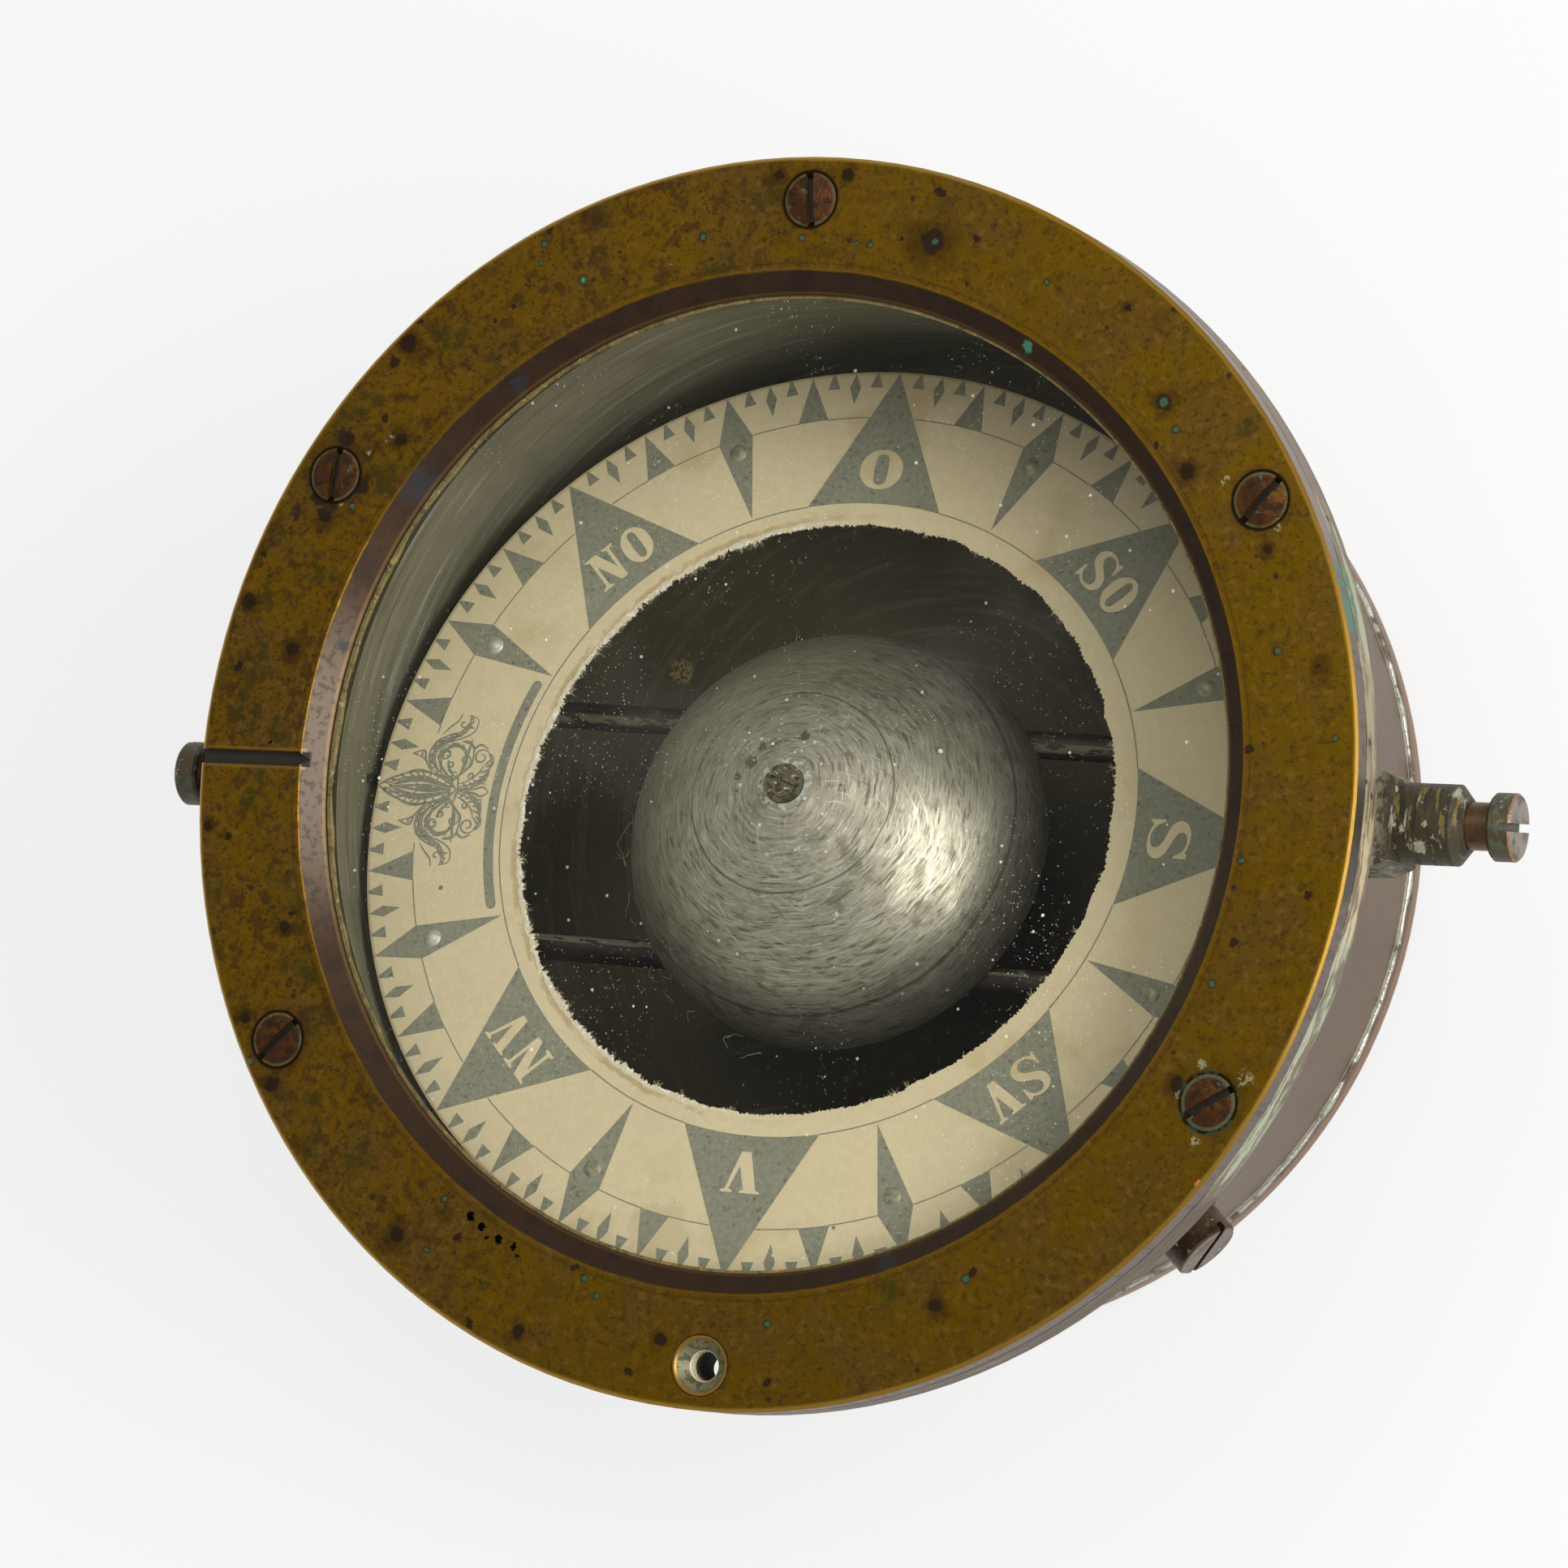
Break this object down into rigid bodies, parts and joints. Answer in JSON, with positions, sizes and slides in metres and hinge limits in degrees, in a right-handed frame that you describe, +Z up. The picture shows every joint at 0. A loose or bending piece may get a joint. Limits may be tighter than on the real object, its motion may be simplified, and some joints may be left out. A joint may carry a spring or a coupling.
{
  "type": "marine compass",
  "caption": "Marine compass bowl with a brass bezel and glass, a card on a domed float that tips and turns on a pivot, and pivot screws for a gimbal ring.",
  "frame": {"origin": "centre of the foot's resting plane, on the bowl's axis", "axes": "+Z up the bowl's axis to the glass; X along the pivot screws, with the lubber mark at -X; Y is athwart, with the empty screw hole near -Y"},
  "size_m": [0.2302, 0.196, 0.0833],
  "materials": {
    "bezel_brass": "satin",
    "screw_brass": "satin",
    "gasket": "matte",
    "glass": "polished",
    "putty": "matte",
    "flange_brass": "matte",
    "wall_brass": "satin",
    "floor_brass": "matte",
    "solder": "satin",
    "foot_brass": "satin",
    "lead": "matte",
    "under_screws": "satin",
    "diaphragm_brass": "satin",
    "clamp_brass": "satin",
    "boss_brass": "matte",
    "pivot_brass": "satin",
    "plug_brass": "satin",
    "washer": "matte",
    "lubber_black": "matte",
    "stem_brass": "satin",
    "hard_steel": "polished",
    "jewel": "polished",
    "float_metal": "satin",
    "cap_solder": "satin",
    "cap_brass": "satin",
    "tube_brass": "matte",
    "backing": "matte",
    "card_paper": "matte",
    "rivets": "satin"
  },
  "bodies": {
    "bowl": {"bezel_ring": "bezel_brass", "bezel_screws": "screw_brass", "bezel_gasket": "gasket", "cover_glass": "glass", "upper_packing": "putty", "lower_packing": "gasket", "bowl_flange": "flange_brass", "bowl_wall": "wall_brass", "bowl_floor": "floor_brass", "solder_seam": "solder", "foot_ring": "foot_brass", "ballast_ring": "lead", "ballast_screws": "under_screws", "diaphragm": "diaphragm_brass", "diaphragm_ring": "clamp_brass", "diaphragm_screws": "under_screws", "fore_boss": "boss_brass", "aft_boss": "boss_brass", "fore_pivot": "pivot_brass", "aft_pivot": "pivot_brass", "filler_boss": "boss_brass", "filler_plug": "plug_brass", "plug_washer": "washer", "lubber_line": "lubber_black", "stem_base": "stem_brass", "stem_screws": "stem_brass", "pivot_stem": "stem_brass", "pivot_point": "hard_steel"},
    "jewel": {"jewel_cup": "jewel"},
    "card": {"float_dome": "float_metal", "float_well": "float_metal", "cap_ring": "cap_solder", "cap_screw": "cap_brass", "north_needle_tube": "tube_brass", "south_needle_tube": "tube_brass", "north_magnet": "hard_steel", "south_magnet": "hard_steel", "tube_saddles": "solder", "card_hangers": "tube_brass", "card_backing": "backing", "paper_card": "card_paper", "card_rivets": "rivets"}
  },
  "joints": [
    {"name": "card_tilt", "type": "hinge", "parent": "bowl", "child": "jewel", "pos_m": [0, 0, 0.0705], "axis": [0.9816, -0.1908, 0], "range_deg": [0, 26.6]},
    {"name": "card_turn", "type": "hinge", "parent": "jewel", "child": "card", "pos_m": [0, 0, 0.0705], "axis": [0.0439, 0.2258, 0.9732], "continuous": true}
  ]
}
